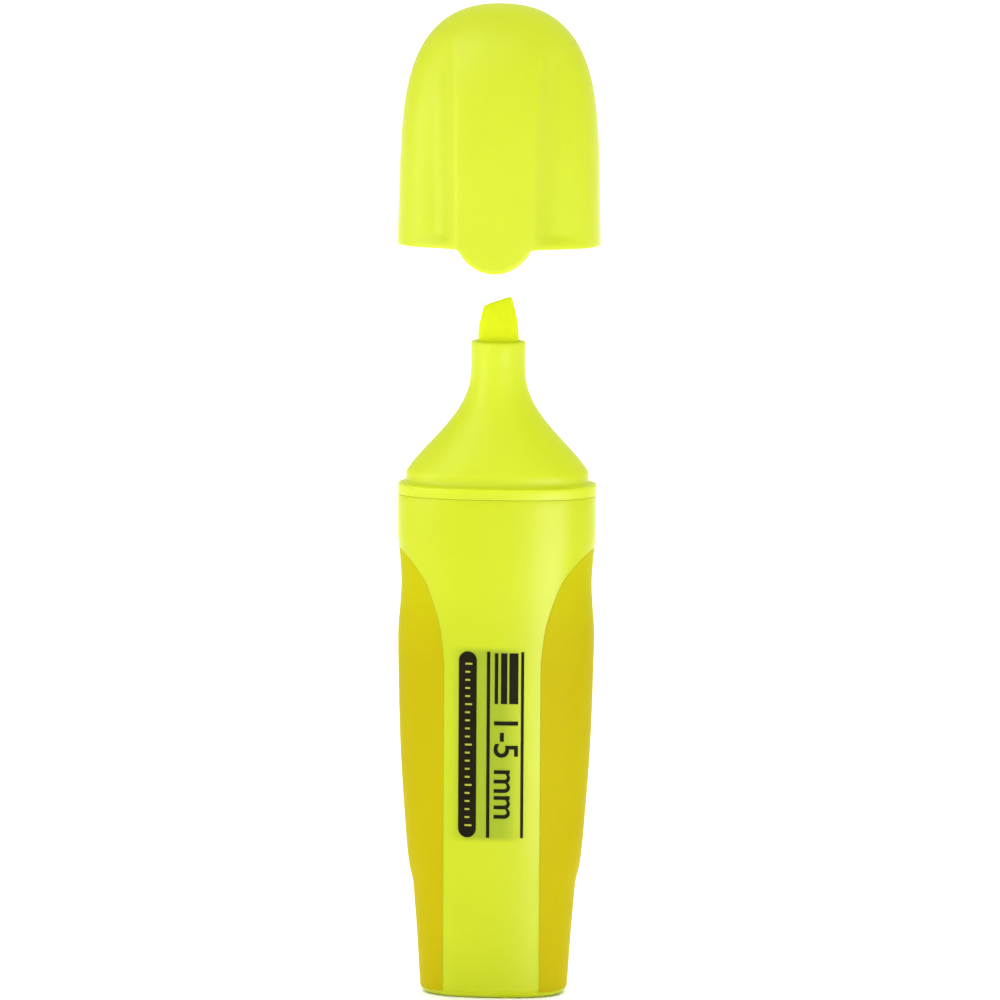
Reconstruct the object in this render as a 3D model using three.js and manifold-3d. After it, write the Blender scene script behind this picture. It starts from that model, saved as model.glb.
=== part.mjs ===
// A flat oval highlighter with its cap pulled straight off: nine pieces, in millimetres, +Z up along the pen.
// The origin is the middle of the flat foot. -Y is the front, where the cap's clip rib is.
import * as THREE from "three";
import { mergeVertices } from "three/addons/utils/BufferGeometryUtils.js";
import Module from "manifold-3d";

const wasm = await Module();
wasm.setup();

// Driving dimensions. A half width is along X, a half depth along Y.
const GAP = 0.3;
const OVAL = 2.5; // superellipse power of the pen's oval section; 2 is a true ellipse
const FINE_SIDES = 36;
const PLAIN_SIDES = 28;

const BARREL_TOP = 72.8;
const BARREL_HALF_WIDTH = 14.35;
const BARREL_HALF_DEPTH = 8.7;
const FOOT_HALF_DEPTH = 7.3;
const FOOT_RADIUS = 1.3;
const FLOOR = 1.8;
const WALL_X = 2.3;
const WALL_Y = 2.0;
const POCKET = 1.2;
const PAD_FRONT_X = 7.0;
const PAD_BOTTOM = 0.8;

const LEDGE = 74.4; // the collar's top, where the cap's rim rests when it is on
const COLLAR_EDGE = 0.25;
const CONE_HALF_WIDTH = 13.2;
const CONE_HALF_DEPTH = 7.6;
const CONE_BASE = 76.0;
const NECK_BASE = 90.3;
const NECK_TOP = 95.0;
const NECK_RADIUS = 3.96;
const NECK_EDGE = 0.3;
const SHELL = 1.3;
const SPIGOT_BOTTOM = 67.2;

const NIB_HALF_WIDTH = 2.93;
const NIB_HALF_DEPTH = 2.0;
const NIB_POWER = 3;
const NIB_FOOT = 60.6;
const NIB_TIP = 101.5; // the high end of the writing edge
const CHISEL_START = 95.8;
const SLANT = THREE.MathUtils.degToRad(18.5); // of the writing edge: its right end is the higher one

const CORE_HALF_WIDTH = 7.3;
const CORE_HALF_DEPTH = 4.0;
const CORE_TOP = 66.4;
const FILM = 0.4;

const CAP_HEIGHT = 34.9;
const CAP_HALF_WIDTH = 14.65;
const CAP_HALF_DEPTH = 9.4;
const CAP_WALL = 1.2;
const CAP_DRAFT = 0.05; // how much narrower the cap would be at its crown if its sides didn't round over
const CAP_MOUTH_HALF_WIDTH = CONE_HALF_WIDTH + GAP;
const CAP_MOUTH_HALF_DEPTH = CONE_HALF_DEPTH + GAP;
const CAP_MOUTH_DEPTH = 2.0;
const CAP_LIFT = 34.3; // how far above its closed place the cap is held
const RIB_HALF_DEPTH = 11.2;
const RIB_HALF_WIDTH = 5.73;
const TONGUE_CENTRE = 2.3;
const TONGUE_BACK = 9.1;
const SCOOP_DEPTH = 1.2;
const LINER_MOUTH = 15.6;
const LINER_TOP = 29;
const LINER_RADIUS = 5.2;
const LINER_NOSE = 3.6; // radius of its narrowed top
const LINER_WALL = 0.9;

// ---- helpers ----

// A closed three.js geometry as a solid that can be joined and cut.
function solid(geometry) {
  const bare = geometry.index ? geometry.toNonIndexed() : geometry.clone();
  bare.deleteAttribute("normal");
  bare.deleteAttribute("uv");
  const merged = mergeVertices(bare, 1e-3);
  const corners = [];
  for (let i = 0; i < merged.index.count; i += 3) {
    const face = [0, 1, 2].map((step) => merged.index.getX(i + step));
    if (new Set(face).size === 3) corners.push(...face);
  }
  const vertProperties = merged.attributes.position.array;
  return new wasm.Manifold(new wasm.Mesh({ numProp: 3, vertProperties, triVerts: new Uint32Array(corners) }));
}

// A finished solid as a named mesh.
function piece(name, made, look) {
  const { vertProperties, triVerts } = made.getMesh();
  const geometry = new THREE.BufferGeometry();
  geometry.setAttribute("position", new THREE.BufferAttribute(vertProperties, 3));
  geometry.setIndex(new THREE.BufferAttribute(triVerts, 1));
  geometry.computeVertexNormals();
  const mesh = new THREE.Mesh(geometry, new THREE.MeshStandardMaterial(look));
  mesh.name = name;
  return mesh;
}

// Cosine or sine of a turn, squared off towards a superellipse.
function squared(value, power) {
  return Math.sign(value) * Math.abs(value) ** (2 / power);
}

// An upright solid with an oval section at each ring {z, a, b, power}: a lathe warped ring by ring.
// press(x, z) says how far the front half is pushed in there.
function oval(rings, sides, press = () => 0) {
  const closed = [{ ...rings[0], a: 0, b: 0 }, ...rings, { ...rings.at(-1), a: 0, b: 0 }];
  const lathe = new THREE.LatheGeometry(closed.map(({ a, z }) => new THREE.Vector2(a, z)), sides);
  const place = lathe.getAttribute("position");
  for (let v = 0; v < place.count; v++) {
    const { z, a, b, power = OVAL } = closed[v % closed.length];
    const turn = (2 * Math.PI * Math.floor(v / closed.length)) / sides;
    const x = a * squared(Math.cos(turn), power);
    const y = b * squared(Math.sin(turn), power);
    place.setXYZ(v, x, y < 0 ? Math.min(0, y + press(x, z)) : y, z);
  }
  return solid(lathe);
}

function box(x0, x1, y0, y1, z0, z1) {
  const block = new THREE.BoxGeometry(x1 - x0, y1 - y0, z1 - z0);
  return solid(block.translate((x0 + x1) / 2, (y0 + y1) / 2, (z0 + z1) / 2));
}

// An outline in the XZ plane, drawn through along Y from y0 to y1.
function through(shape, y0, y1, curveSegments = 4) {
  const block = new THREE.ExtrudeGeometry(shape, { depth: y1 - y0, bevelEnabled: false, curveSegments });
  return solid(block.rotateX(Math.PI / 2).translate(0, y1, 0));
}

// A smooth function of height through a few [z, value] points.
function smoothThrough(points) {
  const curve = new THREE.SplineCurve(points.map(([z, value]) => new THREE.Vector2(z, value)));
  const samples = curve.getPoints(12 * points.length);
  return (z) => {
    const after = samples.findIndex((sample) => sample.x >= z);
    if (after <= 0) return after === 0 ? samples[0].y : samples.at(-1).y;
    const { x: z0, y: v0 } = samples[after - 1];
    const { x: z1, y: v1 } = samples[after];
    return THREE.MathUtils.lerp(v0, v1, (z - z0) / (z1 - z0));
  };
}

function spread(from, to, count) {
  return Array.from({ length: count + 1 }, (_, i) => THREE.MathUtils.lerp(from, to, i / count));
}

// ---- barrel ----

// Half width up the barrel: foot, step above the foot, long swell, waist for the fingers, straight top.
const barrelHalfWidth = smoothThrough([
  [0, 10.62], [8.2, 11.15], [13.9, 11.6], [16.4, 11.85], [19.8, 12.55], [28.4, 13.28], [35.7, 13.75],
  [43, 14.02], [51.1, 14.2], [53.9, 14.15], [56.6, 13.93], [60.1, 13.78], [63.6, 14.0],
  [67, BARREL_HALF_WIDTH], [BARREL_TOP, BARREL_HALF_WIDTH],
]);
const barrelHalfDepth = smoothThrough([
  [0, FOOT_HALF_DEPTH], [20, 7.9], [40, 8.4], [60, BARREL_HALF_DEPTH], [BARREL_TOP, BARREL_HALF_DEPTH],
]);
const BARREL_LEVELS = [
  8.2, 13.9, 16.4, 18.1, 19.8, 28.4, 38, 46.5, 51.1, 53.9, 56.6, 60.1, 63.6, 67, BARREL_TOP,
];

function barrelRing(z, insetX, insetY = insetX) {
  return { z, a: barrelHalfWidth(z) - insetX, b: barrelHalfDepth(z) - insetY };
}

// The barrel's outer shape, with a rounded edge round the foot.
function barrelEnvelope() {
  const edge = spread(0, Math.PI / 2, 3).map((turn) =>
    barrelRing(FOOT_RADIUS * (1 - Math.cos(turn)), FOOT_RADIUS * (1 - Math.sin(turn))));
  return oval([...edge, ...BARREL_LEVELS.map((z) => barrelRing(z, 0))], FINE_SIDES);
}

// The same shape moved inwards all round, and running past both ends.
function barrelInset(insetX, insetY) {
  const rings = BARREL_LEVELS.map((z) => barrelRing(z, insetX, insetY));
  const below = { ...barrelRing(0, insetX, insetY), z: -1 };
  const above = { ...rings.at(-1), z: BARREL_TOP + 1 };
  return oval([below, ...rings, above], FINE_SIDES);
}

function barrelCavity() {
  const levels = [...BARREL_LEVELS.filter((z) => z > 20).filter((_, i) => i % 2), BARREL_TOP + 1];
  return oval([FLOOR, 13.9, 19.8, ...levels].map((z) => barrelRing(z, WALL_X, WALL_Y)), PLAIN_SIDES);
}

// Front view of a side pad: a straight front edge, an arch that sweeps out to the side, a straight foot.
function padOutline(shrink) {
  const outer = BARREL_HALF_WIDTH + 3;
  const arch = [[7.6, 54], [8.9, 58.3], [10.4, 61.5], [13.7, 65], [outer, 66.2]];
  const outline = new THREE.Shape();
  outline.moveTo(PAD_FRONT_X + shrink, PAD_BOTTOM + shrink);
  outline.lineTo(PAD_FRONT_X + shrink, 49);
  outline.splineThru(arch.map(([x, z]) => new THREE.Vector2(x + shrink, z - shrink)));
  outline.lineTo(outer, PAD_BOTTOM + shrink);
  outline.closePath();
  return outline;
}

const PAST = 20; // far enough out to run past any piece
const envelope = barrelEnvelope();
const pocketRegion = through(padOutline(0), -PAST, PAST);
const padRegion = through(padOutline(GAP), -PAST, PAST);
const pocket = pocketRegion.subtract(barrelInset(POCKET, POCKET));
const pad = envelope.intersect(padRegion).subtract(barrelInset(POCKET - GAP, POCKET - GAP));

// Ribs down the inside of the barrel keep the ink reservoir centred.
const RIB_THICK = 1.0;
const RIB_TOP = 60;
const RIB_ROOT = 0.5; // how deep the ribs run into the floor and the wall
const ribX = CORE_HALF_WIDTH + FILM + 2 * GAP;
const ribY = CORE_HALF_DEPTH + FILM + 2 * GAP;
const ribs = box(-PAST, PAST, -RIB_THICK / 2, RIB_THICK / 2, FLOOR - RIB_ROOT, RIB_TOP)
  .add(box(-RIB_THICK / 2, RIB_THICK / 2, -PAST, PAST, FLOOR - RIB_ROOT, RIB_TOP))
  .subtract(box(-ribX, ribX, -ribY, ribY, 0, RIB_TOP + 1))
  .intersect(barrelInset(WALL_X - RIB_ROOT, WALL_Y - RIB_ROOT));

const barrel = envelope
  .subtract(barrelCavity())
  .add(ribs)
  .subtract(pocket)
  .subtract(pocket.mirror([1, 0, 0]));

// ---- ink reservoir ----

const reservoirBottom = FLOOR + GAP + 0.1;
const coreRing = (z, grow) => ({ z, a: CORE_HALF_WIDTH + grow, b: CORE_HALF_DEPTH + grow });
const coreBetween = (z0, z1, grow) => oval([coreRing(z0, grow), coreRing(z1, grow)], PLAIN_SIDES);
const wrap = coreBetween(reservoirBottom, CORE_TOP, GAP + FILM)
  .subtract(coreBetween(reservoirBottom - 1, CORE_TOP + 1, GAP));

// ---- nib ----

// The nib's straight shank, with its pointed foot in the reservoir, grown by a clearance.
function shankRings(grow) {
  const body = { a: NIB_HALF_WIDTH + grow, b: NIB_HALF_DEPTH + grow, power: NIB_POWER };
  return [
    { ...body, z: NIB_FOOT - grow, a: 1.4 + grow, b: 1.1 + grow },
    { ...body, z: NIB_FOOT + 2 },
    { ...body, z: CHISEL_START },
  ];
}
// Above it the nib thins to a chisel.
const chisel = [[2.2, 2.72, 1.5], [4.3, 2.33, 0.85], [6.2, 1.92, 0.45]]
  .map(([rise, a, b]) => ({ z: CHISEL_START + rise, a, b, power: NIB_POWER }));
const slantCut = solid(
  new THREE.BoxGeometry(20, 20, 10).translate(0, 0, 5).rotateY(-SLANT).translate(2, 0, NIB_TIP));
const nib = oval([...shankRings(0), ...chisel], PLAIN_SIDES).subtract(slantCut);
const nibHole = oval(shankRings(GAP), PLAIN_SIDES);
const core = coreBetween(reservoirBottom, CORE_TOP, 0).subtract(nibHole);

// ---- front section ----

// The bell: an oval base that sweeps up into the round neck, by one cubic curve for the width and one for
// the depth. The curve leans in from the base to its shoulder and reaches the neck upright.
const SHOULDER_SHARE = 0.752;
const SHOULDER_RISE = 3.95;
const NECK_SWEEP = 5.9;
const NECK_FLARE = 0.07;
function bellRings(count) {
  const neck = NECK_RADIUS + NECK_FLARE;
  const curve = (base) => new THREE.CubicBezierCurve(
    new THREE.Vector2(base, CONE_BASE),
    new THREE.Vector2(THREE.MathUtils.lerp(neck, base, SHOULDER_SHARE), CONE_BASE + SHOULDER_RISE),
    new THREE.Vector2(neck, NECK_BASE - NECK_SWEEP),
    new THREE.Vector2(neck, NECK_BASE),
  );
  const wide = curve(CONE_HALF_WIDTH);
  const deep = curve(CONE_HALF_DEPTH);
  return spread(0, 1, count).map((t) => {
    const { x: a, y: z } = wide.getPoint(t);
    return { z, a, b: deep.getPoint(t).x, power: THREE.MathUtils.lerp(OVAL, 2, t) };
  });
}
const bell = bellRings(10);
const inside = bell.filter((_, i) => i % 3 === 0 && i < 9)
  .map(({ z, a, b, power }) => ({ z: z - SHELL, a: a - SHELL, b: b - SHELL, power }));
const collarRing = (z, inset) => ({ z, a: BARREL_HALF_WIDTH - inset, b: BARREL_HALF_DEPTH - inset });
const collar = oval([
  collarRing(BARREL_TOP + GAP, COLLAR_EDGE / 2),
  collarRing(BARREL_TOP + GAP + COLLAR_EDGE / 2, 0),
  collarRing(LEDGE - COLLAR_EDGE, 0),
  collarRing(LEDGE, COLLAR_EDGE),
], FINE_SIDES);
const neckRing = (z, inset) => ({ z, a: NECK_RADIUS - inset, b: NECK_RADIUS - inset, power: 2 });
const coneFoot = LEDGE - 0.5; // the cone and the spigot meet inside the collar
const cone = oval([
  { z: coneFoot, a: CONE_HALF_WIDTH, b: CONE_HALF_DEPTH },
  ...bell,
  neckRing(NECK_TOP - NECK_EDGE, 0),
  neckRing(NECK_TOP, NECK_EDGE),
], FINE_SIDES);
const spigotRing = (z, inset) => ({
  z, a: BARREL_HALF_WIDTH - WALL_X - GAP - inset, b: BARREL_HALF_DEPTH - WALL_Y - GAP - inset,
});
const spigot = oval([
  spigotRing(SPIGOT_BOTTOM, 0.4),
  spigotRing(SPIGOT_BOTTOM + 1, 0),
  spigotRing(coneFoot, 0),
], FINE_SIDES);
const spigotHollow = oval([
  spigotRing(SPIGOT_BOTTOM - 1, SHELL),
  spigotRing(CONE_BASE - SHELL, SHELL),
  ...inside.slice(1),
], PLAIN_SIDES);
const neckHole = oval(shankRings(GAP).slice(1), PLAIN_SIDES);
const front = spigot.add(collar).add(cone).subtract(spigotHollow).subtract(neckHole);

// ---- cap, drawn with its rim at z = 0 ----

// A section of the dome at a height above the rim: nearly straight sides that round over at the top. The
// exponents say how long the sides stay straight and how fully they round over, in width and in depth.
const DOME_WIDTH = [4.95, 2.15];
const DOME_DEPTH = [3.9, 2.3];
function domeRing(z, halfWidth, halfDepth, height) {
  const share = Math.min(Math.max(z, 0) / height, 1);
  const rounding = ([straight, round]) => (1 - share ** straight) ** (1 / round);
  const drafted = halfWidth * (1 - CAP_DRAFT * share);
  return { z, a: drafted * rounding(DOME_WIDTH), b: halfDepth * rounding(DOME_DEPTH) };
}
const outerRing = (z, halfDepth) => domeRing(z, CAP_HALF_WIDTH, halfDepth, CAP_HEIGHT);
const DOME_LEVELS = [4, 9, 14, 19, 23, 26.5, 29.3, 31.4, 33, 34.1, 34.7];

// A scoop on each side of the rib: deepest beside it, fading to the sides, the crown and the rim.
function scoop(x, z) {
  const across = 1 - THREE.MathUtils.smoothstep(Math.abs(x), RIB_HALF_WIDTH + 0.4, CAP_HALF_WIDTH - 1);
  const up = THREE.MathUtils.smoothstep(z, 0.3, 2.2) * (1 - THREE.MathUtils.smoothstep(z, 21, 33));
  return SCOOP_DEPTH * across * up;
}

// Front view of the rib: a round tongue at the bottom, nearly parallel sides, flaring into the crown.
function ribOutline() {
  const side = [[RIB_HALF_WIDTH + 0.4, 24], [RIB_HALF_WIDTH + 0.9, 27.5], [RIB_HALF_WIDTH + 2.4, 30.5],
    [CAP_HALF_WIDTH - 3, 33]];
  const outline = new THREE.Shape();
  outline.absarc(0, TONGUE_CENTRE, RIB_HALF_WIDTH, Math.PI, 2 * Math.PI, false);
  outline.splineThru(side.map(([x, z]) => new THREE.Vector2(x, z)));
  outline.lineTo(CAP_HALF_WIDTH - 3, CAP_HEIGHT + 1);
  outline.lineTo(3 - CAP_HALF_WIDTH, CAP_HEIGHT + 1);
  outline.lineTo(3 - CAP_HALF_WIDTH, 33);
  outline.splineThru(side.slice(0, -1).reverse().map(([x, z]) => new THREE.Vector2(-x, z)));
  outline.closePath();
  return outline;
}

const capLevels = [0, 0.5, 1.2, 2, ...DOME_LEVELS];
const capBody = oval(capLevels.map((z) => outerRing(z, CAP_HALF_DEPTH)), FINE_SIDES, scoop);
const rib = oval([-4, 0, ...DOME_LEVELS].map((z) => outerRing(z, RIB_HALF_DEPTH)), FINE_SIDES)
  .intersect(through(ribOutline(), -PAST, 0, 6));
const behindTongue = oval([-5, 0].map((z) => ({ z, a: CAP_HALF_WIDTH + 1, b: TONGUE_BACK })), FINE_SIDES);

// The hollow inside: wide at the mouth for the cone's base, then a dome one wall inside the outer one.
const INNER_HALF_WIDTH = CAP_MOUTH_HALF_WIDTH - 0.3;
const INNER_HALF_DEPTH = CAP_MOUTH_HALF_DEPTH - 0.7;
const innerRing = (z) => domeRing(z, INNER_HALF_WIDTH, INNER_HALF_DEPTH, CAP_HEIGHT - CAP_WALL);
const capHollow = oval([
  { z: -1, a: CAP_MOUTH_HALF_WIDTH, b: CAP_MOUTH_HALF_DEPTH },
  { z: CAP_MOUTH_DEPTH, a: CAP_MOUTH_HALF_WIDTH, b: CAP_MOUTH_HALF_DEPTH },
  ...[4.2, 12, 19, 24, 27.5, 30.3, 32.2, 33.2].map(innerRing),
], PLAIN_SIDES);

// Two fins inside the cap, one on each side, hold the liner in the middle.
const FIN_BOTTOM = 16.5;
const FIN_TOP = 26;
const FIN_THICK = 1.0;
const FIN_ROOT = 0.4; // how deep the fins run into the cap's wall
const finReach = LINER_RADIUS + GAP;
const fins = box(-PAST, PAST, -FIN_THICK / 2, FIN_THICK / 2, FIN_BOTTOM, FIN_TOP)
  .subtract(box(-finReach, finReach, -FIN_THICK, FIN_THICK, 0, FIN_TOP + 1))
  .intersect(oval([FIN_BOTTOM - 1, 20, 23, FIN_TOP + 1].map((z) => {
    const { a, b } = innerRing(z);
    return { z, a: a + FIN_ROOT, b };
  }), PLAIN_SIDES));
// A groove up the back of the rib keeps its wall as thin as the rest.
const GROOVE_HALF_WIDTH = 3.6;
const GROOVE_BOTTOM = -9.7; // in depth, along Y
const GROOVE_TOP = 20;
const grooveMouth = -5; // inside the cap's hollow
const ribGroove = box(-GROOVE_HALF_WIDTH, GROOVE_HALF_WIDTH, GROOVE_BOTTOM, grooveMouth, -0.5, GROOVE_TOP);
const capShell = capBody.add(rib).subtract(behindTongue).subtract(capHollow).subtract(ribGroove).add(fins);

// The liner is a cup, mouth down, that closes round the neck and keeps the nib wet.
function cup(radius, mouth, top, nose) {
  const round = (r, z) => ({ z, a: r, b: r, power: 2 });
  return oval([round(radius, mouth), round(radius, top - 2.5), round(nose, top)], PLAIN_SIDES);
}
const liner = cup(LINER_RADIUS, LINER_MOUTH, LINER_TOP, LINER_NOSE).subtract(
  cup(LINER_RADIUS - LINER_WALL, LINER_MOUTH - 1, LINER_TOP - CAP_WALL, LINER_NOSE - LINER_WALL));

// ---- the assembly ----

const PLASTIC = { color: 0xd9e83b, roughness: 0.35, metalness: 0 };
const BELL_PLASTIC = { color: 0xdcec3c, roughness: 0.4, metalness: 0 };
const CAP_PLASTIC = { color: 0xe0f342, roughness: 0.38, metalness: 0 };
const LINER_PLASTIC = { color: 0xf0f4d8, roughness: 0.5, metalness: 0 };
const SOFT_GRIP = { color: 0xcfc41b, roughness: 0.75, metalness: 0 };
const WET_FIBRE = { color: 0xe6f51e, roughness: 0.85, metalness: 0 };
const CLEAR_FILM = { color: 0xf2f6c0, roughness: 0.3, metalness: 0 };

const cap = new THREE.Group();
cap.position.z = LEDGE + GAP + CAP_LIFT;
cap.add(piece("cap_shell", capShell, CAP_PLASTIC), piece("cap_liner", liner, LINER_PLASTIC));

const highlighter = new THREE.Group();
highlighter.add(
  piece("barrel", barrel, PLASTIC),
  piece("grip_right", pad, SOFT_GRIP),
  piece("grip_left", pad.mirror([1, 0, 0]), SOFT_GRIP),
  piece("front_section", front, BELL_PLASTIC),
  piece("nib", nib, WET_FIBRE),
  piece("reservoir_core", core, WET_FIBRE),
  piece("reservoir_wrap", wrap, CLEAR_FILM),
  cap,
);

export default highlighter;
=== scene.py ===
# %% [markdown]
# # A capped highlighter, built round its CAD frame
# The pen is a flat oval tube of fluorescent plastic with soft pads on its sides, a moulded
# front that narrows to a round neck, a felt chisel nib, and a domed cap held above it. The CAD
# model fixes its size and how it moves. Here each visible piece gets a fine surface and a
# finish, and rides on the CAD body that moves it.

# %% Load the frame
import math

import bmesh
import bpy
import numpy as np
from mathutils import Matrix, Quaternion, Vector


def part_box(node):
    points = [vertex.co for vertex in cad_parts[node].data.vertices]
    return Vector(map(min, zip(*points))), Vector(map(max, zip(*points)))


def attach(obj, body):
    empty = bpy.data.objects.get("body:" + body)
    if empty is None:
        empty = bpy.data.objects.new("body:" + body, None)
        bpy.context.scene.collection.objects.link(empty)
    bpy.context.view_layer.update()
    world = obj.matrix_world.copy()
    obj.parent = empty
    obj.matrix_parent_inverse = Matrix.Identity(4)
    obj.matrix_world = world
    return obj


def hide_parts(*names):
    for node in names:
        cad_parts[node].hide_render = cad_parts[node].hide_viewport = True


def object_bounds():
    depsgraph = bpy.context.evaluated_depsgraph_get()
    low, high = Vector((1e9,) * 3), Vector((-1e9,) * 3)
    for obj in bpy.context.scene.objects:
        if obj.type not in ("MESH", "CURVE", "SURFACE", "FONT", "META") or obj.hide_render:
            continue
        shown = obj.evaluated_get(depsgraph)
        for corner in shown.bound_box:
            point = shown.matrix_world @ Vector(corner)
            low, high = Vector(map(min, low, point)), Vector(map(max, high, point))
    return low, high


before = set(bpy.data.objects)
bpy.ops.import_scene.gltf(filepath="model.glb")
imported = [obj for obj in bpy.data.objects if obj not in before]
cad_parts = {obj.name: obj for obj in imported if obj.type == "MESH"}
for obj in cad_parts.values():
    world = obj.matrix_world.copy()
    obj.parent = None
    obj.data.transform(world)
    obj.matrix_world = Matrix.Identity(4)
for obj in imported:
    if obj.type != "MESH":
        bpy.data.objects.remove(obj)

cad_low, cad_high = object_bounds()
MM = 0.001
print("CAD box in mm", [round(v / MM, 1) for v in (*cad_low, *cad_high)])

# %% [markdown]
# ## Places taken from the frame
# The heights where pieces meet, such as the barrel's top, the neck's top and the cap's rim, are
# read from the CAD nodes' boxes. They could be typed in again, but then a change to the CAD
# would leave gaps. Lengths are worked in millimetres, because the pen's details are fractions
# of one, and become metres when a mesh is made.

# %% Read the frame's boxes
def box_mm(node):
    """The lowest and highest corners of a CAD node, in mm."""
    low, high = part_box(node)
    return np.array(low) / MM, np.array(high) / MM


front_low, front_high = box_mm("front_section")
nib_low, nib_high = box_mm("nib")
liner_low, liner_high = box_mm("cap_liner")
PAD_LOW = box_mm("grip_right")[0][2]
BARREL_TOP = box_mm("barrel")[1][2]
NECK_TOP = front_high[2]
CAP_HEIGHT = 34.9
CROWN_SOFTENING = 0.2
RIM = box_mm("cap_shell")[1][2] + CROWN_SOFTENING - CAP_HEIGHT
print("barrel top", round(BARREL_TOP, 2), "neck top", round(NECK_TOP, 2), "cap rim", round(RIM, 2))

# %% [markdown]
# ## The oval
# Every section of this pen is a superellipse: flatter than an ellipse on its faces, rounder
# than a box at its sides. A point on it is found by squaring off the cosine and sine of a turn,
# and the power says how boxy it is. Pushing a point in along the section's own normal gives
# wall thicknesses, pockets and rounded edges.

# %% Oval sections and smooth outlines
OVAL = 2.5


def squared(value, power):
    return np.sign(value) * np.abs(value) ** (2 / power)


def oval_points(turn, a, b, power=OVAL, inset=0.0):
    """X and Y round an oval, a and b its half sizes, pushed in by inset along its own normal."""
    x = a * squared(np.cos(turn), power)
    y = b * squared(np.sin(turn), power)
    nx = np.sign(x) * np.abs(x / a) ** (power - 1) / a
    ny = np.sign(y) * np.abs(y / b) ** (power - 1) / b
    length = np.maximum(np.hypot(nx, ny), 1e-9)
    return x - inset * nx / length, y - inset * ny / length


def turn_at(x, a):
    """The turn, from the side towards the face, at which the oval is x wide; 0 past the side."""
    return float(np.arccos(np.clip(np.clip(np.array(x), 0, None) / a, 0, 1) ** (OVAL / 2)))


def smooth_through(points):
    """A smooth function of height through a few (height, value) points."""
    knots = np.array(points, float)
    padded = np.vstack([knots[0], knots, knots[-1]])
    t = np.linspace(0, 1, 24, endpoint=False)[:, None]
    runs = []
    for p0, p1, p2, p3 in zip(padded, padded[1:], padded[2:], padded[3:]):
        bend = (p2 - p0) / 2, (p3 - p1) / 2
        runs.append(p1 + bend[0] * t + (3 * (p2 - p1) - 2 * bend[0] - bend[1]) * t**2
                    + (2 * (p1 - p2) + bend[0] + bend[1]) * t**3)
    path = np.vstack([*runs, knots[-1:]])
    return lambda height: np.interp(height, path[:, 0], path[:, 1])


def smoothstep(value, start, end):
    t = np.clip((value - start) / (end - start), 0, 1)
    return t * t * (3 - 2 * t)


def edge_steps(radius, count=5):
    """(along, inset) pairs round a quarter-circle edge, from the flat side to the corner's end."""
    turns = np.linspace(0, math.pi / 2, count)
    return [(radius * (1 - math.sin(t)), radius * (1 - math.cos(t))) for t in turns]


half_way = oval_points(math.pi / 4, 14, 8)
print("half way round a 14 by 8 oval:", [round(float(v), 2) for v in half_way])

# %% [markdown]
# ## From rows of points to a mesh
# A moulded piece is one closed skin, so each one is made as a grid: rows of points that go up
# the outside, over the rim and down the inside. Where a row shrinks to a point the doubled
# points are merged, which closes the skin.

# %% Grid to mesh
MERGE, DISSOLVE = 0.002, 0.001


def grid_faces(rows, around, start=0, close_rows=False, close_ring=True):
    """Quads between rows of points that are numbered row by row from start."""
    faces = []
    for i in range(rows if close_rows else rows - 1):
        low, high = start + i * around, start + (i + 1) % rows * around
        for j in range(around if close_ring else around - 1):
            k = (j + 1) % around
            faces.append((low + j, low + k, high + k, high + j))
    return faces


def closed_piece(name, points, faces, body, node, slot, material, crease_angle=35):
    """A smooth closed mesh from points in mm: doubled points merged, sharp edges kept sharp."""
    mesh = bpy.data.meshes.new(name)
    mesh.from_pydata((np.array(points, float) * MM).tolist(), [], faces)
    work = bmesh.new()
    work.from_mesh(mesh)
    bmesh.ops.remove_doubles(work, verts=work.verts, dist=MERGE * MM)
    bmesh.ops.dissolve_degenerate(work, edges=work.edges, dist=DISSOLVE * MM)
    bmesh.ops.recalc_face_normals(work, faces=work.faces)
    if work.calc_volume(signed=True) < 0:
        bmesh.ops.reverse_faces(work, faces=work.faces)
    sharp = math.radians(crease_angle)
    for face in work.faces:
        face.smooth = True
    for edge in work.edges:
        edge.smooth = not edge.is_manifold or edge.calc_face_angle(0) < sharp
    open_edges = sum(not edge.is_manifold for edge in work.edges)
    work.to_mesh(mesh)
    work.free()
    mesh.materials.append(material)
    piece = bpy.data.objects.new(name, mesh)
    bpy.context.scene.collection.objects.link(piece)
    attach(piece, body)
    if node:
        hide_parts(node)
    print(name, len(mesh.polygons), "faces,", open_edges, "open edges")
    return piece


def grid_piece(name, rows, *args, close_rows=False, **kwargs):
    """A closed piece whose rows are rings of the same number of points."""
    rows = np.array(rows, float)
    count, around, _ = rows.shape
    faces = grid_faces(count, around, close_rows=close_rows)
    return closed_piece(name, rows.reshape(-1, 3), faces, *args, **kwargs)


def ring(turns, z, a, b, power=OVAL, inset=0.0):
    """One row of points round an oval at height z."""
    x, y = oval_points(turns, a, b, power, inset)
    return np.stack([x, y, np.broadcast_to(z, x.shape)], axis=1)


def pole(turns, z):
    """A row that is shrunk to one point on the axis."""
    return np.stack([0 * turns, 0 * turns, 0 * turns + z], axis=1)


print(len(grid_faces(3, 8)), "quads join 3 rings of 8 points")


# %% [markdown]
# ## The stage
# A pale floor in an even white surround makes fluorescent plastic glow. One wide soft lamp
# shapes the front, its twin does the same for the back, and a small one above lifts the crown.
# A wash that is linked to the floor alone keeps it white and never touches the pen. Gloss is
# drawn separately, by lamps that show only in reflections: two on the left, and two close ones
# on the right for the long highlight down the barrel. One lamp could do both jobs, but then
# moving a highlight would also move the shading.

# %% A white floor
FLOOR_REACH = 6.0


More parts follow.
